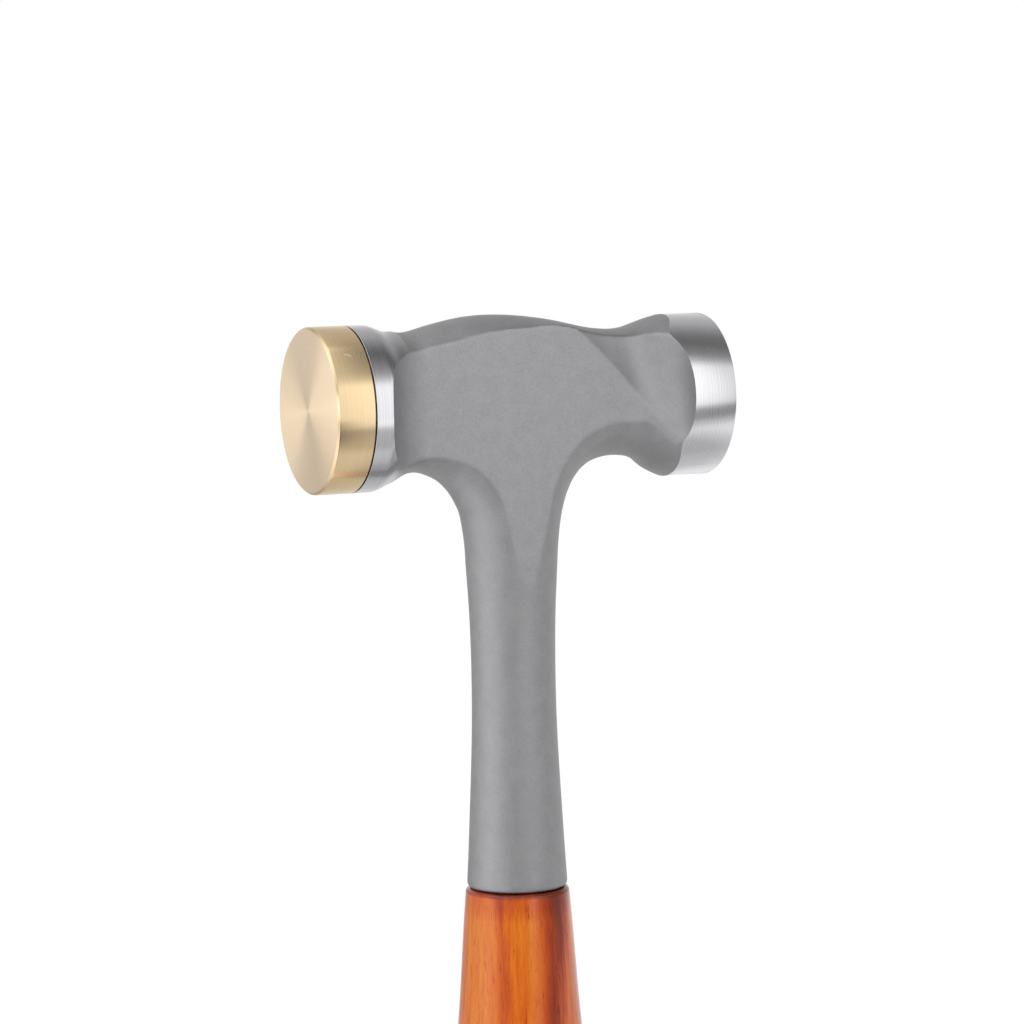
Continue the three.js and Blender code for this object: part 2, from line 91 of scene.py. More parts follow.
# Neck: places down it, and its swell there, as shares.
NECK = [
    [0, 0.462], [0.053, 0.34], [0.12, 0.19], [0.21, 0.07], [0.3, 0.012], [0.39, 0.012], [0.48, 0.06],
    [0.58, 0.185], [0.68, 0.36], [0.79, 0.575], [0.9, 0.8], [0.986, 1],
]


def smooth(rows, steps, by_row=False):
    """Smooth curve through rows of values, placed by their first value or by their number."""
    rows = np.array(rows, float)
    places = np.arange(len(rows), dtype=float) if by_row else rows[:, 0]
    slopes = np.diff(rows, axis=0) / np.diff(places)[:, None]
    tangents = np.vstack([slopes[:1], (slopes[1:] + slopes[:-1]) / 2, slopes[-1:]])
    at = np.linspace(places[0], places[-1], steps + 1)
    i = np.clip(np.searchsorted(places, at, side="right") - 1, 0, len(places) - 2)
    gap = (places[i + 1] - places[i])[:, None]
    p = (at - places[i])[:, None] / gap
    start = (2 * p**3 - 3 * p**2 + 1) * rows[i] + (p**3 - 2 * p**2 + p) * gap * tangents[i]
    end = (3 * p**2 - 2 * p**3) * rows[i + 1] + (p**3 - p**2) * gap * tangents[i + 1]
    return start + end


WELD = 1e-5  # points nearer than this become one
ON_AXIS = 1e-6  # radius of a ring that the weld closes


def skinned(name, rings):
    """Closed solid over rings with the same number of points."""
    rings = np.array(rings, float)
    layers, count = rings.shape[:2]
    k, i = np.meshgrid(np.arange(layers - 1), np.arange(count), indexing="ij")
    a, b = k * count + i, k * count + (i + 1) % count
    faces = np.stack([a, b, b + count, a + count], -1).reshape(-1, 4).tolist()
    faces.append(list(range(count))[::-1])
    faces.append([(layers - 1) * count + j for j in range(count)])
    mesh = bpy.data.meshes.new(name)
    mesh.from_pydata(rings.reshape(-1, 3).tolist(), [], faces)
    work = bmesh.new()
    work.from_mesh(mesh)
    bmesh.ops.remove_doubles(work, verts=work.verts, dist=WELD)
    bmesh.ops.recalc_face_normals(work, faces=work.faces)
    work.to_mesh(mesh)
    work.free()
    solid = bpy.data.objects.new(name, mesh)
    bpy.context.scene.collection.objects.link(solid)
    return solid


def turned(name, rows, axis="x", sides=256):
    """Turned solid from rows of radius and place along its axis, closed on the axis at both ends."""
    rows = np.array(rows, float)
    rows[[0, -1], 0] = ON_AXIS
    turn = np.linspace(0, 2 * math.pi, sides, endpoint=False)
    across = rows[:, :1] * np.cos(turn), rows[:, :1] * np.sin(turn)
    along = np.broadcast_to(rows[:, 1:], across[0].shape)
    return skinned(name, np.stack([along, *across] if axis == "x" else [*across, along], -1))


def shaped(solid, kind, **settings):
    """Applies one modifier to a solid, for good."""
    made = solid.modifiers.new(kind, kind)
    for key, value in settings.items():
        setattr(made, key, value)
    bpy.context.view_layer.update()
    done = bpy.data.meshes.new_from_object(solid.evaluated_get(bpy.context.evaluated_depsgraph_get()))
    solid.modifiers.clear()
    solid.data = done
    if kind == "BOOLEAN":
        bpy.data.objects.remove(settings["object"])
    return solid


def joined(solid, other, how):
    """Adds one solid to another, or cuts one by the other, and keeps only the result."""
    return shaped(solid, "BOOLEAN", object=other, operation=how, solver="MANIFOLD")


def crown_blank():
    """The head's blank: its crown, with straight sides down to the top of the neck."""
    turn = np.linspace(0, math.pi, 129)
    rings = []
    for place, height, width in smooth(CROWN, 240):
        x, wide, high = place * HALF_LENGTH, width * FACE_RADIUS, height * FACE_RADIUS
        ring = [[x, 0, -NECK_TOP_DROP], [x, -wide, -NECK_TOP_DROP]]
        ring += [[x, -wide * math.cos(t), high * math.sin(t)] for t in turn]
        rings.append(ring + [[x, wide, -NECK_TOP_DROP]])
    return skinned("crown", rings)


ARCH_CENTRE = (0.361, 0.4545)  # what both arches bend round, as shares out and down
ARCH_REACH = 0.525  # how far the cut goes towards that centre, as a share of the arch's drop
ARCH_SPREAD = 1.2  # how far it goes to each side, as a share of a face's radius
ARCH_LIP = 0.05  # keeps its corners past its rounding


def arch_cut(shares, side):
    """Underside between one end and the neck: follows the arch and is rounded across the head."""
    drop, out_by = NECK_TOP_DROP - FACE_RADIUS, FACE_RADIUS - NECK_RADIUS

    def place(out, fall):
        return side * (NECK_RADIUS + out * (HALF_LENGTH - NECK_RADIUS)), -FACE_RADIUS - fall * drop

    centre_x, centre_z = place(*ARCH_CENTRE)
    reach, edge = ARCH_REACH * drop, ARCH_SPREAD * FACE_RADIUS
    turn = np.linspace(-math.pi / 2, math.pi / 2, 97)
    rings = []
    for out, fall, deep, wide in smooth(shares, 160, by_row=True):
        x, z = place(out, fall)
        deep, wide = NECK_RADIUS + deep * out_by, NECK_RADIUS + wide * out_by
        to_centre = np.array([side * max(side * (centre_x - x), 0), min(centre_z - z, 0)])
        to_centre /= np.linalg.norm(to_centre)
        row = [(0, reach), (-edge, reach), (-edge, -deep - ARCH_LIP)]
        row += [(wide * math.sin(t), -deep * (1 - math.cos(t))) for t in turn]
        row += [(edge, -deep - ARCH_LIP), (edge, reach)]
        rings.append([[x + along * to_centre[0], y, z + along * to_centre[1]] for y, along in row])
    return skinned("arch", rings)


FLAT_HALF = 7.8
FLARE_RADIUS = 10.0
BRASS_FLARE_X, STEEL_FLARE_X = -17.8, 19.3
PAST_SIDE, PAST_TOP, PAST_FOOT = 34.2, 17.1, -40  # how far the cuts reach, all clear of the casting


def flare(x):
    """How far the round flare at either end of a flat has left it, by the place along the head."""
    past = max(x - STEEL_FLARE_X, BRASS_FLARE_X - x, 0)
    return FLARE_RADIUS - math.sqrt(max(FLARE_RADIUS**2 - past**2, 0))


def flat_cut(side):
    """Cut that leaves the flat on one side, with its two flares."""
    turn = np.linspace(0, math.pi / 2, 49)
    outline = [(BRASS_FLARE_X - FLARE_RADIUS, PAST_SIDE)]
    for start, way, angles in ((BRASS_FLARE_X, -1, turn[::-1]), (STEEL_FLARE_X, 1, turn)):
        for t in angles:
            x = start + way * FLARE_RADIUS * math.sin(t)
            outline.append((x, FLAT_HALF + FLARE_RADIUS * (1 - math.cos(t))))
    outline.append((STEEL_FLARE_X + FLARE_RADIUS, PAST_SIDE))
    return skinned("flat", [[[x, side * y, z] for x, y in outline] for z in (PAST_FOOT, PAST_TOP)])


SCOOP_DEPTH = 2.2
SCOOP_RUN = 9.0
CREASE_BOW = 0.7  # how far the crease bends aside at its middle
CREASE_TOP, CREASE_FOOT = np.array([9.633, 12.497]), np.array([25.935, -5.401])


def scoop_cut(side):
    """Slanting scoop near the steel face: its floor falls away from a bowed crease and follows the flare."""
    crease = CREASE_FOOT - CREASE_TOP
    across = np.array([-crease[1], crease[0]]) / np.linalg.norm(crease)
    first = CREASE_TOP[0] - SCOOP_RUN / 2
    places = list(np.linspace(first, STEEL_FLARE_X, 81)[:-1])
    places += [STEEL_FLARE_X + FLARE_RADIUS * math.sin(t) for t in np.linspace(0, math.pi / 2, 57)[:-1]]
    rings = []
    for x in places:
        ring = [[x, side * PAST_SIDE, -FACE_RADIUS]]
        for z in np.linspace(-FACE_RADIUS, PAST_TOP, 97):
            point = np.array([x, z]) - CREASE_TOP
            down = min(max(point @ crease / (crease @ crease), 0), 1)
            past = point @ across - CREASE_BOW * 4 * down * (1 - down)
            run = min(past, SCOOP_RUN) / SCOOP_RUN
            depth = 2 * run if past < 0 else 1 - (1 - run) ** 2
            ring.append([x, side * (FLAT_HALF + flare(x) - SCOOP_DEPTH * depth), z])
        rings.append(ring + [[x, side * PAST_SIDE, PAST_TOP]])
    return skinned("scoop", rings)


ROOT_RADIUS, ROOT_DROP = 6.4, 24  # the neck's core, which reaches up into the head


def rounded_edge(radius):
    """Rows of an edge's rounding, as the radius there and how far that is from the end."""
    turn = np.linspace(0, math.pi / 2, 9)[1:]
    return [(radius - EDGE_ROUND * (1 - math.cos(t)), EDGE_ROUND * (1 - math.sin(t))) for t in turn]


def neck_rows():
    """Outline of the round neck, from its core in the head down to the shoulder on the grip."""
    run = NECK_DROP - NECK_TOP_DROP
    rows = [[0, -ROOT_DROP], [ROOT_RADIUS, -ROOT_DROP], [ROOT_RADIUS, -NECK_TOP_DROP]]
    for down, wide in smooth(NECK, 120):
        rows.append([WAIST_RADIUS + wide * SHOULDER_SWELL, -NECK_TOP_DROP - down * run])
    rows += [[radius, up - NECK_DROP] for radius, up in rounded_edge(WAIST_RADIUS + SHOULDER_SWELL)]
    return rows + [[0, -NECK_DROP]]


casting = joined(crown_blank(), arch_cut(BRASS_ARCH, -1), "DIFFERENCE")
casting = joined(casting, arch_cut(STEEL_ARCH, 1), "DIFFERENCE")
casting = joined(casting, turned("neck", neck_rows(), "z", 192), "UNION")
for side in (-1, 1):
    casting = joined(casting, flat_cut(side), "DIFFERENCE")
    casting = joined(casting, scoop_cut(side), "DIFFERENCE")
shaped(casting, "REMESH", mode="VOXEL", voxel_size=CAST_GRAIN, adaptivity=0)
shaped(casting, "SMOOTH", factor=0.5, iterations=3)

# Lathe work: the collar sweeps in behind its bright edge, the steel end is straight with a rounded edge, and
# the middle stays as cast. What stands outside these three and the neck's room is cut off.
COLLAR_END_X, STEEL_END_X = -20.45, 26.4
MIDDLE_X = (-20.5, 26.43)  # just past the ends of the collar and the steel end, so that all three meet
MIDDLE_RADIUS = 15.82
NECK_ROOM_WIDE, NECK_ROOM_DEEP, NECK_ROOM_DROP = 12.24, 17.1, 90  # half its width and depth, and its reach
SEAT_CHAMFER = 0.03
STEEL_ROUND, ROUND_SAG = 0.3, 0.08  # the steel face's edge, and how far its rounding cuts the corner
SWEEP = [
    [-27.6, 14.25], [-26.85, 14.23], [-26.2, 14.09], [-25.4, 13.8], [-24.6, 13.44], [-23.8, 13.15],
    [-23.0, 13.01], [-22.2, 12.98], [COLLAR_END_X, 13.02],
]
COLLAR = [[0, SEAT_X], [FACE_RADIUS - SEAT_CHAMFER, SEAT_X], [FACE_RADIUS, SEAT_X + SEAT_CHAMFER]]
COLLAR += [[radius, along] for along, radius in smooth(SWEEP, 48)] + [[0, COLLAR_END_X]]
STEEL_END = [
    [0, STEEL_END_X], [FACE_RADIUS, STEEL_END_X], [FACE_RADIUS, HALF_LENGTH - STEEL_ROUND],
    [FACE_RADIUS - ROUND_SAG, HALF_LENGTH - ROUND_SAG], [FACE_RADIUS - STEEL_ROUND, HALF_LENGTH],
    [0, HALF_LENGTH],
]
MIDDLE = [[0, MIDDLE_X[0]], [MIDDLE_RADIUS, MIDDLE_X[0]], [MIDDLE_RADIUS, MIDDLE_X[1]], [0, MIDDLE_X[1]]]
room_outline = [
    (-NECK_ROOM_DEEP, -NECK_ROOM_DROP), (NECK_ROOM_DEEP, -NECK_ROOM_DROP), (NECK_ROOM_DEEP, 0),
    (-NECK_ROOM_DEEP, 0),
]
room = skinned("room", [[[x, y, z] for y, z in room_outline] for x in (-NECK_ROOM_WIDE, NECK_ROOM_WIDE)])
limit = turned("middle", MIDDLE)
for piece in (room, turned("collar", COLLAR), turned("steel_end", STEEL_END)):
    limit = joined(limit, piece, "UNION")
casting = joined(casting, limit, "INTERSECT")

# Recess for the brass face's spigot, and behind it the drilled hole for the stud.
RECESS_RADIUS, RECESS_END_X = 8.3, -25.75
HOLE_RADIUS, HOLE_END_X, HOLE_TIP_X = 4.3, -13.17, -11.02
BEFORE_SEAT_X = SEAT_X - 0.45  # the cut starts in the open
SEAT_CUT = [
    [0, BEFORE_SEAT_X], [RECESS_RADIUS, BEFORE_SEAT_X], [RECESS_RADIUS, RECESS_END_X],
    [HOLE_RADIUS, RECESS_END_X], [HOLE_RADIUS, HOLE_END_X], [0, HOLE_TIP_X],
]
casting = joined(casting, turned("seat", SEAT_CUT, sides=128), "DIFFERENCE")

TANG_ROOT_DROP, TANG_TIP_DROP = 80, NECK_DROP + TANG_LENGTH
TANG_CHAMFER = 1.0
TANG = [
    [0, -TANG_ROOT_DROP], [TANG_RADIUS, -TANG_ROOT_DROP], [TANG_RADIUS, TANG_CHAMFER - TANG_TIP_DROP],
    [TANG_RADIUS - TANG_CHAMFER, -TANG_TIP_DROP], [0, -TANG_TIP_DROP],
]
casting = joined(casting, turned("tang", TANG, "z", 64), "UNION")

SLIVER = 0.003  # edges shorter than this are taken out


def placed(piece, name, up=0.0, sharp=32):
    """Brings a solid in millimetres to its place in metres, free of slivers and with its edges kept crisp."""
    piece.name = piece.data.name = name
    work = bmesh.new()
    work.from_mesh(piece.data)
    bmesh.ops.dissolve_degenerate(work, dist=SLIVER, edges=work.edges)
    work.to_mesh(piece.data)
    work.free()
    piece.data.transform(Matrix.Scale(MM, 4) @ Matrix.Translation((0, 0, up)))
    piece.data.shade_smooth()
    piece.data.set_sharp_from_angle(angle=math.radians(sharp))
    return piece


head = placed(casting, "head_casting", HEAD_UP)

# The turned surfaces are marked face by face, so that their finish ends exactly where the lathe did. The
# collar's polish fades along its sweep, and every edge between cast and turned faces is kept crisp.
NEAR_COLLAR, NEAR_SIDE, NEAR_SEAT = 0.01, 0.006, 0.1  # how near a face's middle is to the turned shape
END_DEPTH = 0.35  # the steel face and its rounded edge
FADE_X, FADE = (-27, -21), (1, 0.45)
along, aside, up = (np.array([face.center for face in head.data.polygons]) / MM).T
reach = np.hypot(aside, up - HEAD_UP)
collar_radius = np.interp(along, *zip(*[[x, radius] for radius, x in COLLAR[2:-1]]))
on_collar = (along < COLLAR_END_X) & (np.abs(reach - collar_radius) < NEAR_COLLAR)
on_steel_end = (along > MIDDLE_X[1]) & (reach > FACE_RADIUS - NEAR_SIDE)
on_ends = (along > HALF_LENGTH - END_DEPTH) | (np.abs(along - SEAT_X) < NEAR_SEAT)
is_turned = on_collar | on_steel_end | on_ends
polish = np.where(on_collar, np.interp(along, FADE_X, FADE), 1)
mark = head.data.attributes.new("turned", "FLOAT", "FACE")
mark.data.foreach_set("value", (is_turned * polish).astype(np.float32))
faces_of = np.zeros((len(head.data.edges), 2), int)  # each edge's count of cast and of turned faces
for face in head.data.polygons:
    for k in face.loop_indices:
        faces_of[head.data.loops[k].edge_index, int(is_turned[face.index])] += 1
crisp = head.data.attributes["sharp_edge"]
was_crisp = np.zeros(len(faces_of), bool)
crisp.data.foreach_get("value", was_crisp)
crisp.data.foreach_set("value", was_crisp | (faces_of.min(1) > 0))


class Wire:
    """An output of a surface's nodes, with arithmetic."""

    def __init__(self, socket):
        self.socket = socket

    def node(self, kind, sockets, out=0, stops=None, **settings):
        """Adds a node. Its settings and a ramp's stops come first, then its sockets, by value or by wire."""
        made = self.socket.id_data.nodes.new(kind)
        for key, value in settings.items():
            setattr(made, key, value)
        for k, (place, colour) in enumerate(stops or ()):
            stop = made.color_ramp.elements[k] if k < 2 else made.color_ramp.elements.new(place)
            stop.position, stop.color = place, (*colour, 1)
        for key, value in sockets.items():
            if isinstance(value, Wire):
                self.socket.id_data.links.new(value.socket, made.inputs[key])
            else:
                made.inputs[key].default_value = value
        return Wire(made.outputs[out])

    def math(self, operation, *values, clamp=False):
        return self.node("ShaderNodeMath", dict(enumerate(values)), operation=operation, use_clamp=clamp)

    def __add__(self, other):
        return self.math("ADD", self, other)

    def __sub__(self, other):
        return self.math("SUBTRACT", self, other)

    def __rsub__(self, other):
        return self.math("SUBTRACT", other, self)

    def __mul__(self, other):
        return self.math("MULTIPLY", self, other)

    def __truediv__(self, other):
        return self.math("DIVIDE", self, other)

    def __pow__(self, other):
        return self.math("POWER", self, other)

    def __gt__(self, other):
        return self.math("GREATER_THAN", self, other)

    __radd__ = __add__
    __rmul__ = __mul__

    def feeds(self, shader, socket):
        self.socket.id_data.links.new(self.socket, shader.inputs[socket])


def finish(piece, name, **fixed):
    """Gives a piece a surface of its own. Returns its shader and the place on the piece, in millimetres."""
    surface = bpy.data.materials.new(name)
    surface.use_nodes = True
    shader = surface.node_tree.nodes["Principled BSDF"]
    for key, value in fixed.items():
        shader.inputs[key.replace("_", " ")].default_value = value
    piece.data.materials.clear()
    piece.data.materials.append(surface)
    corner = Wire(surface.node_tree.nodes.new("ShaderNodeTexCoord").outputs["Object"])
    return shader, corner.node("ShaderNodeVectorMath", {0: corner, "Scale": 1 / MM}, operation="SCALE")


def axes(place):
    """A place's or a direction's three parts."""
    return [place.node("ShaderNodeSeparateXYZ", {0: place}, out=k) for k in range(3)]


def colour_mix(a, b, share):
    """Colour between two, by the share of the second."""
    return share.node("ShaderNodeMix", {"Factor": share, 6: a, 7: b}, out=2, data_type="RGBA")


def raised(height, strength, shader):
    """Shades a surface as if it rose by a height in millimetres."""
    bump = {"Height": height * MM, "Strength": strength, "Distance": 1.0}
    height.node("ShaderNodeBump", bump).feeds(shader, "Normal")


def speckle(place, size, detail=2.0, rough=0.5):
    """Uneven value from 0 to 1, with spots of about a size in millimetres."""
    sockets = {"Vector": place, "Scale": 1 / size, "Detail": detail, "Roughness": rough}
    return place.node("ShaderNodeTexNoise", sockets)


def tool_marks(path, size, detail=3.0):
    """Fine rings left by a lathe: a value that changes only along the tool's path."""
    sockets = {"W": path, "Scale": 1 / size, "Detail": detail}
    return path.node("ShaderNodeTexNoise", sockets, noise_dimensions="1D")


def mark_at(place, at, along, length, width):
    """Small mark on a surface, such as a pit or a nick: 1 inside an ellipsoid with these half sizes."""
    off = place.node("ShaderNodeVectorMath", {0: place, 1: at}, operation="SUBTRACT")
    far = off.node("ShaderNodeVectorMath", {0: off, 1: off}, out=1, operation="DOT_PRODUCT")
    down = off.node("ShaderNodeVectorMath", {0: off, 1: along}, out=1, operation="DOT_PRODUCT")
    return 1 - (far - down * down) * width**-2 - down * down * length**-2 > 0


GRAIN, MOTTLE, RING = 0.22, 2.5, 0.2  # sizes of blasted grain, of its larger spots and of the lathe's rings
UPPER_PIT = ((0, -7.45, 195.1), (0, 0, 1), 0.17, 0.16)  # its place, its way, and half its length and width
LOWER_PIT = ((2.2, -7.1, 165.0), (0, 0, 1), 0.2, 0.16)
BLASTED_DARK, BLASTED_PALE = (0.245, 0.243, 0.25, 1), (0.514, 0.508, 0.52, 1)
TURNED_DARK, TURNED_PALE = (0.44, 0.44, 0.46, 1), (0.88, 0.88, 0.90, 1)
steel, place = finish(head, "blasted and turned stainless", Metallic=1.0)
x, y, z = axes(place)
# The two pits are dented, and also painted darker as shade in their hollows.
pits_dented_and_shaded = mark_at(place, *UPPER_PIT) + mark_at(place, *LOWER_PIT)
turned_here = place.node("ShaderNodeAttribute", {}, out=2, attribute_name="turned")
radius = (y * y + (z - HEAD_UP) * (z - HEAD_UP)) ** 0.5
grain, mottle = speckle(place, GRAIN, 2.5, 0.6), speckle(place, MOTTLE, 3.0)
rings = tool_marks(x - radius, RING)
blast = mottle * 0.35 + grain * 0.65 - pits_dented_and_shaded * 0.5
blasted_tone = colour_mix(BLASTED_DARK, BLASTED_PALE, blast)
# The turned steel is painted paler on the steel face's half than on the collar's half: painted light and
# shade on one turned finish.
steel_half_painted_paler = x > 0
turned_tone = colour_mix(TURNED_DARK, TURNED_PALE, rings * 0.6 + steel_half_painted_paler * 0.4)
colour_mix(blasted_tone, turned_tone, turned_here).feeds(steel, "Base Color")
blasted_rough = 0.55 + mottle * 0.06
turned_rough = 0.15 + rings * 0.08
(blasted_rough + (turned_rough - blasted_rough) * turned_here).feeds(steel, "Roughness")
raised(grain * (1 - turned_here) * 0.012 + rings * turned_here * 0.002 - pits_dented_and_shaded * 0.03, 0.6, steel)
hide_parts("hammer_head")
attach(head, "head")


# Brass striking face: a disc turned from bar, with a spigot that seats in the collar and a blind hole tapped
# for the stud. Its edge is lightly chamfered and its front is faced, so it shows fine rings.

# Places on the disc are measured back from its front face, and it lies along its own Z.
DISC_BACK = 6.85
DISC_EDGE = [(0.63, 0), (0.45, 0.04), (0.08, 0.37), (0, 0.6)]  # a soft chamfer: in from the rim, and back
BACK_CHAMFER = (0.2, 0.22)
SPIGOT_RADIUS, SPIGOT_END, SPIGOT_CHAMFER = 8.0, 10.88, 0.4
DISC_HOLE_FOOT = 3.28
DISC = [[0, 0]] + [[FACE_RADIUS - inward, back] for inward, back in DISC_EDGE]
DISC += [
    [FACE_RADIUS, DISC_BACK - BACK_CHAMFER[1]], [FACE_RADIUS - BACK_CHAMFER[0], DISC_BACK],
    [SPIGOT_RADIUS, DISC_BACK], [SPIGOT_RADIUS, SPIGOT_END - SPIGOT_CHAMFER],
    [SPIGOT_RADIUS - SPIGOT_CHAMFER, SPIGOT_END], [HOLE_RADIUS, SPIGOT_END],
    [HOLE_RADIUS, DISC_HOLE_FOOT], [0, DISC_HOLE_FOOT],
]
disc = turned("disc", DISC, "z", 256)
disc.data.transform(Matrix.Scale(MM, 4))
disc.name = disc.data.name = "brass_striking_face"
disc.data.shade_smooth()
disc.data.set_sharp_from_angle(angle=math.radians(25))
disc_place = Matrix.Translation((-HALF_LENGTH * MM, 0, HEAD_UP * MM))
disc.matrix_world = disc_place @ Matrix.Rotation(math.pi / 2, 4, "Y")

BRASS_RING, BRASS_BAND, PATINA = 0.2, 0.7, 6.0  # sizes of fine rings, of broad ones and of patina spots
RIM_RADIUS, RIM_RUN = 13.7, 0.3  # from here out the front's finish and paler colour give way to the side's finish and its colour, which is painted darker
NICK = ((-9.83, -10.33, 3.45), (0.297, -0.283, 0.912), 0.7, 0.17)
FACED_DARK, FACED_PALE = (0.82, 0.65, 0.455, 1), (0.97, 0.80, 0.575, 1)
# The side is painted darker and deeper in colour than the faced front, as painted shade on the same turned
# brass.
SHADED_SIDE_DARK, SHADED_SIDE_PALE = (0.65, 0.48, 0.27, 1), (0.88, 0.69, 0.43, 1)
# The nick is dented and painted near white: partly bare brass, partly a painted glint.
BARE_BRASS_AND_GLINT = (1.0, 0.90, 0.68, 1)
brass, place = finish(disc, "turned brass", Metallic=1.0, Anisotropic=0.85, Anisotropic_Rotation=0.25)
x, y, z = axes(place)
radius = (x * x + y * y) ** 0.5
rings, broad = tool_marks(z + radius, BRASS_RING, 1.0), tool_marks(z + radius, BRASS_BAND)
patina = speckle(place, PATINA, 3.0)
rim = place.math("DIVIDE", radius - RIM_RADIUS, RIM_RUN, clamp=True)
nick_and_glint = mark_at(place, *NICK)
worn = rings * 0.6 + patina * 0.2 + broad * 0.2
shaded_side_tone = colour_mix(colour_mix(SHADED_SIDE_DARK, SHADED_SIDE_PALE, worn), BARE_BRASS_AND_GLINT, nick_and_glint)
colour_mix(colour_mix(FACED_DARK, FACED_PALE, worn), shaded_side_tone, rim).feeds(brass, "Base Color")
(0.33 + rings * 0.08 + patina * 0.05 - rim * 0.14).feeds(brass, "Roughness")
raised(rings * 0.001 - nick_and_glint * 0.004, 0.5, brass)
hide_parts("brass_face")
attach(disc, "face")


# Stud: an M8 set screw with a hexagon socket, black oxide, that holds the brass face to the head. Its thread
# shows only when the face is unscrewed.
STUD_X, STUD_LENGTH = -33.47, 20.0
STUD_RADIUS, STUD_CHAMFER = 4.0, 0.8
PITCH = 1.25
THREAD_DEPTH = 0.72
SOCKET_CORNER, SOCKET_END_X = 2.309, -28.97  # 4 mm across its flats
BEFORE_STUD_X = -34.5  # the socket's cut starts in the open
turn = np.linspace(0, 2 * math.pi, 48, endpoint=False)
rows = []
for along in np.linspace(0, STUD_LENGTH, 241):
    wave = np.abs(((along / PITCH - turn / (2 * math.pi)) % 1) * 2 - 1)
    crest = STUD_RADIUS - THREAD_DEPTH * np.clip(wave * 1.3 - 0.15, 0, 1)  # narrow flats at crest and root
    to_end = min(along, STUD_LENGTH - along)
    crest = np.minimum(crest, STUD_RADIUS - STUD_CHAMFER + to_end)
    at = np.full_like(turn, STUD_X + along)
    rows.append(np.stack([at, crest * np.cos(turn), crest * np.sin(turn)], -1))
corners = [(SOCKET_CORNER * math.cos(a), SOCKET_CORNER * math.sin(a)) for a in np.arange(6) * math.pi / 3]
socket = skinned("socket", [[[x, y, z] for y, z in corners] for x in (BEFORE_STUD_X, SOCKET_END_X)])
stud = placed(joined(skinned("stud", rows), socket, "DIFFERENCE"), "threaded_stud", HEAD_UP, 40)

OXIDE_DARK, OXIDE_PALE = (0.012, 0.012, 0.014, 1), (0.05, 0.05, 0.055, 1)
BLOOM = 0.8  # size of the oxide's spots
oxide, place = finish(stud, "black oxide", Metallic=1.0)
bloom = speckle(place, BLOOM, 4.0)
colour_mix(OXIDE_DARK, OXIDE_PALE, bloom).feeds(oxide, "Base Color")
(0.32 + bloom * 0.2).feeds(oxide, "Roughness")
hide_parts("face_stud")
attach(stud, "stud")


# Grip: one piece of padauk, turned and shaved to an oval, drilled for the tang and bonded to it. Its top edge
# is rounded under the steel shoulder, and it is oiled and polished.
GRIP_TOP = 144.85
GRIP_TOP_RADIUS = 9.1
BELLY = 15.0  # half of the grip's greatest width
BORE_RADIUS, BORE_FOOT, BORE_TIP, PAST_GRIP_TOP = 4.8, 84.7, 82.3, 146

# Grip: places up it, then its half width and half depth there, as shares of its height and its belly.
GRIP = [
    [0, 0.56, 0.505], [0.006, 0.66, 0.6], [0.02, 0.775, 0.7], [0.05, 0.865, 0.785], [0.1, 0.915, 0.825],
    [0.19, 0.955, 0.855], [0.3, 0.99, 0.875], [0.4, 1, 0.88], [0.5, 0.985, 0.87], [0.6, 0.935, 0.84],
    [0.7, 0.855, 0.79], [0.79, 0.766, 0.74], [0.86, 0.704, 0.694], [0.91, 0.669, 0.663],
    [0.957, 0.637, 0.635], [0.9945, 0.6067, 0.6067],
]
levels = [[up * GRIP_TOP, wide * BELLY, deep * BELLY] for up, wide, deep in smooth(GRIP, 110, by_row=True)]
levels += [[GRIP_TOP - up, radius, radius] for radius, up in rounded_edge(GRIP_TOP_RADIUS)]
turn = np.linspace(0, 2 * math.pi, 128, endpoint=False)
rings_up = [[w * np.cos(turn), d * np.sin(turn), np.full_like(turn, z)] for z, w, d in levels]
grip = skinned("grip", [np.stack(ring, -1) for ring in rings_up])
BORE = [[0, BORE_TIP], [BORE_RADIUS, BORE_FOOT], [BORE_RADIUS, PAST_GRIP_TOP], [0, PAST_GRIP_TOP]]
grip = placed(joined(grip, turned("bore", BORE, "z", 64), "DIFFERENCE"), "padauk_grip", sharp=40)


def along_grain(place, size, detail, rough=0.5, stretch=(1, 1, 0.05)):
    """Speckle drawn out along the grip, as wood's fibres are."""
    return speckle(place.node("ShaderNodeMapping", {0: place, "Scale": stretch}), size, detail, rough)


# The wood's layers stand on edge, so they show as broad bands up the grip: each has a place across it in
# millimetres and a tone, from dark heart to orange.
LAYER_WAY = (0.915, -0.403)  # across them, as shares of X and Y
LAYER_REACH = 12
LAYERS = [
    (-12, 0.6), (-8.5, 0.78), (-4.4, 0.8), (-2.8, 0.52), (-0.8, 0.66), (2.4, 0.78), (4.6, 0.5),
    (6.2, 0.2), (7.4, 0.26), (9.0, 0.66), (12, 0.5),
]
WOOD_TONES = [
    (0.05, (0.13, 0.016, 0.006)), (0.25, (0.27, 0.032, 0.008)), (0.45, (0.44, 0.060, 0.007)),
    (0.62, (0.59, 0.117, 0.005)), (0.80, (0.67, 0.19, 0.012)),
]
DARK_TOP, DARK_TOP_RUN = 141.5, 2.5  # where the wood darkens towards its top end
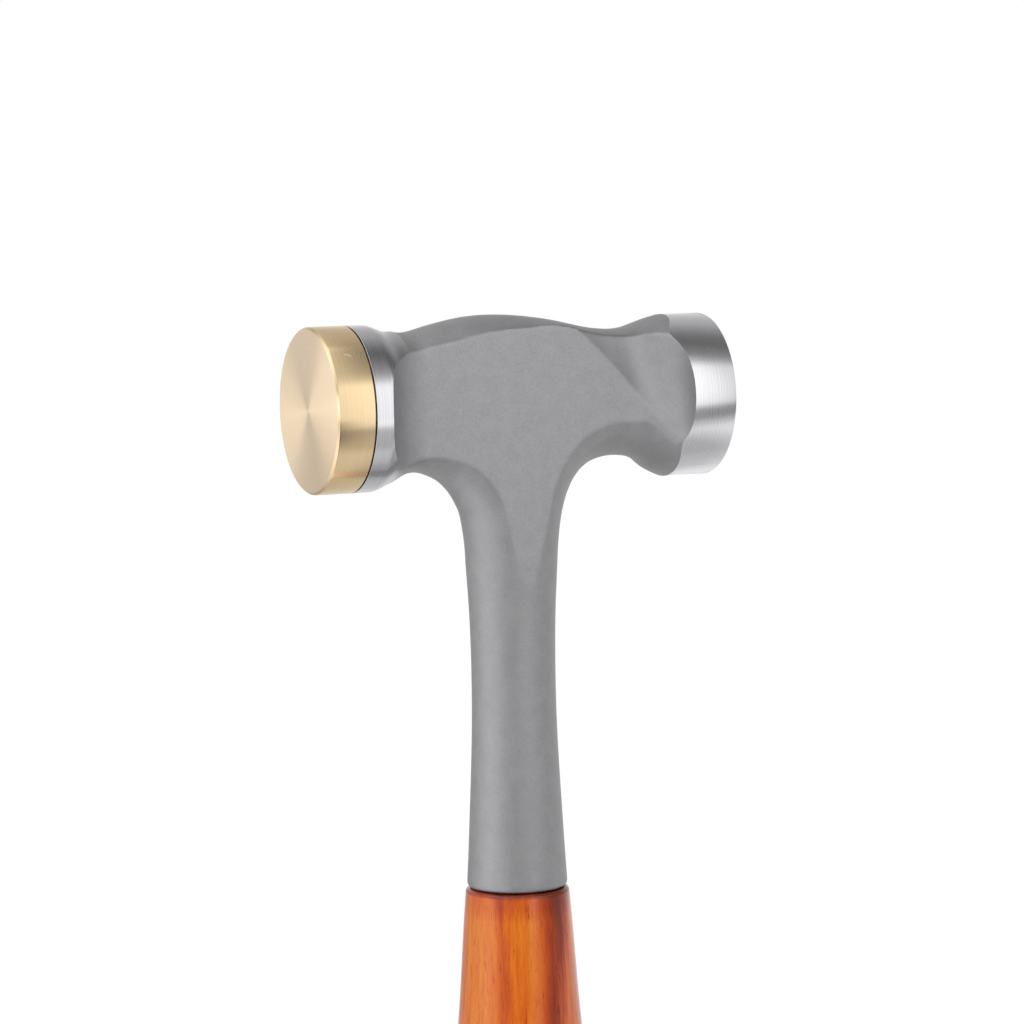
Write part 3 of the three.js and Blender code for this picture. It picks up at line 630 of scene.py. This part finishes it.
# Painted shade: the wood's rounded top edge, just under the steel shoulder, is painted much darker.
SHOULDER_SHADE_FROM, SHOULDER_SHADE_RUN = 144.0, 0.4
WANDER, STREAK, FIBRE, PORE = 9.0, 1.5, 0.4, 0.28  # sizes across the grain
FIBRE_DEPTH = 0.03
wood, place = finish(grip, "oiled padauk", Coat_Roughness=0.14, Coat_IOR=1.5, Specular_IOR_Level=0.05)
x, y, z = axes(place)
wander = along_grain(place, WANDER, 3.0, stretch=(0.6, 0.6, 0.25))
streaks = along_grain(place, STREAK, 4.0, 0.6, stretch=(1, 1, 0.06))
fibres = along_grain(place, FIBRE, 2.0)
across = x * LAYER_WAY[0] + y * LAYER_WAY[1] + (wander - 0.5) * 5.0 + (streaks - 0.5) * 2.2
layer_stops = [(0.5 + at / (2 * LAYER_REACH), (tone, tone, tone)) for at, tone in LAYERS]
layer = across.node("ShaderNodeValToRGB", {0: across / (2 * LAYER_REACH) + 0.5}, stops=layer_stops)
tone = layer * 0.85 + (streaks - 0.5) * 0.6 + (fibres - 0.5) * 0.3 + 0.06
pores = along_grain(place, PORE, 1.0, stretch=(1, 1, 0.1)) > 0.69
near_top = place.math("DIVIDE", z + wander * 3 - DARK_TOP, DARK_TOP_RUN, clamp=True)
shade_under_shoulder = place.math("DIVIDE", z - SHOULDER_SHADE_FROM, SHOULDER_SHADE_RUN, clamp=True)
tone = tone - (fibres > 0.64) * 0.14 - pores * 0.2 - near_top * 0.13 - shade_under_shoulder * 0.35
tone.node("ShaderNodeValToRGB", {0: tone}, stops=WOOD_TONES).feeds(wood, "Base Color")
(0.40 - fibres * 0.15).feeds(wood, "Roughness")
place.math("MINIMUM", layer * 1.1 + 0.25, 0.9).feeds(wood, "Coat Weight")
raised((fibres * 0.5 - (fibres > 0.63) * 0.6 + streaks * 0.4) * FIBRE_DEPTH, 0.5, wood)
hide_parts("grip")
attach(grip, "head")


# Floor: a plain pale table that runs out of sight, with its top where the hammer stands. Like the room behind
# it, it is white to the camera, apart from the hammer's shadow.
FLOOR_REACH, FLOOR_THICK = 4, 0.02  # in metres
floor_outline = [
    (-FLOOR_REACH, -FLOOR_THICK), (-FLOOR_REACH, 0), (FLOOR_REACH, 0), (FLOOR_REACH, -FLOOR_THICK),
]
floor = skinned("floor", [[[x, y, z] for y, z in floor_outline] for x in (-FLOOR_REACH, FLOOR_REACH)])
pale, place = finish(floor, "pale table", Base_Color=(0.9, 0.9, 0.9, 1), Roughness=0.6)


def white_behind(place):
    """How far a ray sees the white background: the camera's own, and those that metal and gloss send on."""
    camera, glossy, through = (place.node("ShaderNodeLightPath", {}, out=k) for k in (0, 3, 6))
    return place.math("ADD", camera, glossy + through, clamp=True)


def shines(piece, glow):
    """Lets a glow or a mix of shaders take the place of a piece's own shader."""
    glow.feeds(piece.data.materials[0].node_tree.nodes["Material Output"], 0)


FLOOR_GLOW, FLOOR_WHITE = 1.1, 0.8  # the rest is the table itself, which takes the shadow
glow = place.node("ShaderNodeEmission", {"Strength": FLOOR_GLOW})
white = white_behind(place) * FLOOR_WHITE
shines(floor, place.node("ShaderNodeMixShader", {0: white, 1: Wire(pale.outputs[0]), 2: glow}))

# Room: white where it is seen, and a little darker as light, so that colours render as they are written.
ROOM_LIGHT = 0.65
world = bpy.data.worlds.new("white room")
bpy.context.scene.world = world
world.use_nodes = True
look = Wire(world.node_tree.nodes.new("ShaderNodeTexCoord").outputs["Generated"])
(white_behind(look) * (1 - ROOM_LIGHT) + ROOM_LIGHT).feeds(world.node_tree.nodes["Background"], "Color")


# Light tent: a dome of white cloth round the hammer, flattened just above the table, that only gloss sees.
# Dark gaps overhead and low in front give turned metal its bands.
TENT_RADIUS, TENT_FOOT = 0.28, 0.225  # in metres, from the head's axis
work = bmesh.new()
bmesh.ops.create_icosphere(work, subdivisions=5, radius=TENT_RADIUS)
for vertex in work.verts:
    if vertex.co.z < 0:
        vertex.co *= min(1, TENT_FOOT / -vertex.co.z)
tent = bpy.data.objects.new("light_tent", bpy.data.meshes.new("light_tent"))
work.to_mesh(tent.data)
work.free()
bpy.context.scene.collection.objects.link(tent)
tent.location = (0, 0, HEAD_UP * MM)
place = finish(tent, "tent cloth")[1]
look = place.node("ShaderNodeVectorMath", {0: place}, operation="NORMALIZE")
x, y, z = axes(look)  # which way a point of the cloth lies from the head: right, away and up, from -1 to 1

# Brightness by degrees from the front: over the tent, where 90 is overhead, and round it, where 90 is at the
# steel face. The low sides are the cloth below the head, down to where the tent is flattened.
OVER = [
    (-180, 1.25), (-165, 1.0), (-147, 0.95), (-125, 0.85), (-90, 0.76), (-70, 0.76), (-52, 0.75),
    (-42, 0.44), (-33, 0.2), (-22, 0.25), (-15, 1.1), (0, 1.2), (38, 1.28), (47, 0.65), (56, 0.38),
    (75, 0.24), (92, 0.29), (105, 0.45), (118, 0.6), (135, 0.7), (150, 0.8), (165, 1.05), (180, 1.25),
]
SIDES = [
    (-180, 0.8), (-150, 0.58), (-125, 1.05), (-95, 1.8), (-70, 1.6), (-50, 0.8), (-30, 0.85), (-10, 1.0),
    (10, 1.2), (18, 1.28), (42, 0.97), (52, 0.7), (80, 0.65), (100, 0.75), (135, 0.8), (152, 0.9),
    (180, 0.8),
]
LOW_SIDES = [
    (-180, 0.6), (-150, 0.5), (-123, 0.8), (-108, 1.3), (-95, 2.0), (-82, 2.2), (-71, 1.9), (-60, 1.3),
    (-49, 0.8), (-38, 0.45), (-28, 0.25), (-5, 0.25), (8, 1.5), (180, 0.85),
]
RAMP_TOP = 2  # a ramp ends at 1, so it holds each brightness divided by this


def by_turn(rise, run, stops, lean=0.0):
    """Brightness that goes by an angle. A lean shifts it by a share of a full turn."""
    turn = rise.math("ARCTAN2", rise, run) / (2 * math.pi) + 0.5 + lean
    greys = [(0.5 + degrees / 360, (bright / RAMP_TOP,) * 3) for degrees, bright in stops]
    return turn.node("ShaderNodeValToRGB", {0: turn}, stops=greys)


def fades(value, start, run):
    """0 up to a start, then rising to 1 over a run."""
    return value.math("DIVIDE", value - start, run, clamp=True)


LEAN, LEAN_SWING = 0.0125, 0.025  # the bands lie higher at one end of the tent and lower at the other
MIDDLE_BRIGHT, MIDDLE_RISE = 0.42, 0.33  # a plain strip over the middle, paler towards the top
HIGH_LEFT, LOW_LEFT = 0.85, 0.25  # least brightness at the brass end, above the head and below it
left, front, down = (-1.0 * way for way in (x, y, z))
bands = by_turn(z, front, OVER, LEAN - fades(x, 0.3, 0.2) * LEAN_SWING)
sides, low_sides = by_turn(x, front, SIDES), by_turn(x, front, LOW_SIDES)
from_middle = fades(x.math("ABSOLUTE", x + 0.06), 0.02, 0.08)
plain = MIDDLE_BRIGHT + z.math("MAXIMUM", z, 0.0) * MIDDLE_RISE
bands = plain + (bands - plain) * from_middle
high_left = z * fades(left, 0.15, 0.2) * HIGH_LEFT
low_left = fades(left, -0.42, 0.08) * fades(down, 0.0, 0.05) * LOW_LEFT
bands = x.math("MAXIMUM", x.math("MAXIMUM", bands, high_left), low_left)
low = fades(down, 0.17, 0.07) * fades(z, -0.75, 0.2)
light = bands * (sides + (low_sides - sides) * low) * RAMP_TOP**2
shines(tent, place.node("ShaderNodeEmission", {"Color": light}))
tent.data.materials[0].cycles.emission_sampling = "NONE"  # the tent isn't a lamp
for ray in ("camera", "diffuse", "transmission", "volume_scatter", "shadow"):
    setattr(tent, "visible_" + ray, False)


# Lamps: two soft boxes, the larger and stronger one at the left, both pointed at the neck. Places and sizes
# are in metres. Gloss doesn't see them, because the tent is there for it.
LAMPS = [("left", (-1.1, -0.7, 0.8), 0.9, 9.0), ("top", (0.3, -0.6, 1.4), 0.8, 5.0)]
LAMP_AIM = (0, 0, 0.17)
for name, spot, size, power in LAMPS:
    lamp = bpy.data.objects.new(name, bpy.data.lights.new(name, "AREA"))
    bpy.context.scene.collection.objects.link(lamp)
    lamp.data.size, lamp.data.energy = size, power
    lamp.visible_glossy = False
    aim = (Vector(spot) - Vector(LAMP_AIM)).to_track_quat("Z", "Y")
    lamp.matrix_world = Matrix.Translation(spot) @ aim.to_matrix().to_4x4()


# Camera: its place in millimetres and its angles in degrees, fitted to the rims of both faces, the brass
# face's seat and the neck's shoulder in the photograph. Its focal length is in image widths.
CAMERA = (-258.37, -587.18, HEAD_UP + 41.24)
TO_RIGHT, DOWN, TILT = (math.radians(a) for a in (23.774, 5.374, -1.060))
FOCAL = 3714.9 / 1024
SENSOR = 36
eye = bpy.data.objects.new("camera", bpy.data.cameras.new("camera"))
bpy.context.scene.collection.objects.link(eye)
bpy.context.scene.camera = eye
eye.data.sensor_width, eye.data.lens = SENSOR, FOCAL * SENSOR
eye.data.clip_start, eye.data.clip_end = 0.05, 50
level = math.cos(DOWN)
ahead = np.array([math.sin(TO_RIGHT) * level, math.cos(TO_RIGHT) * level, -math.sin(DOWN)])
right = np.cross(ahead, [0, 0, 1])
right /= np.linalg.norm(right)
up = np.cross(right, ahead)
right, up = math.cos(TILT) * right + math.sin(TILT) * up, math.cos(TILT) * up - math.sin(TILT) * right
pose = np.stack([right, up, -ahead], 1)
eye.matrix_world = Matrix.Translation([v * MM for v in CAMERA]) @ Matrix(pose.tolist()).to_4x4()

bpy.context.scene.view_settings.view_transform = "Standard"
